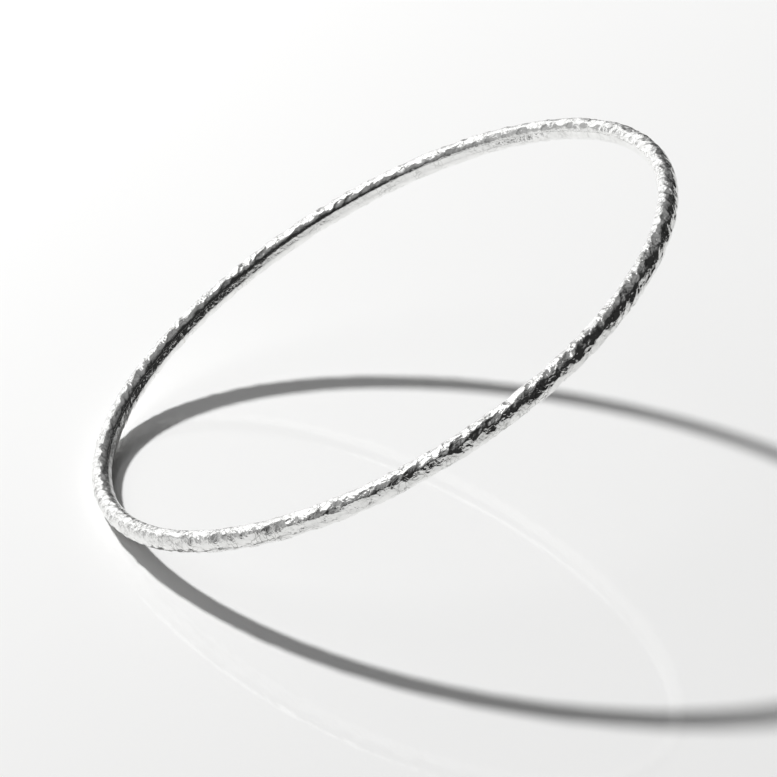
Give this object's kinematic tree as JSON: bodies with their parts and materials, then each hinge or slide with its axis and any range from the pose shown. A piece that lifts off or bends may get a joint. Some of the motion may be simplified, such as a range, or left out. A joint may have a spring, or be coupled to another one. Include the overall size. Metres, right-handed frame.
{
  "type": "bangle bracelet",
  "caption": "Closed round slip-on bangle of polished, hammered silver wire with an oval section and a narrow inner land.",
  "frame": {"origin": "on the hoop's axis, in the plane that the hoop lies on", "axes": "+Z along the hoop's axis, away from the surface it lies on; +Y towards the soldered seam; +X completes the frame"},
  "size_m": [0.0674, 0.0674, 0.0023],
  "materials": {
    "hammered_silver": "hand-hammered and bright polished",
    "silver_solder": "filed flush and bright polished"
  },
  "bodies": {
    "root": {"wire_hoop": "hammered_silver", "solder_seam": "silver_solder"}
  },
  "joints": []
}
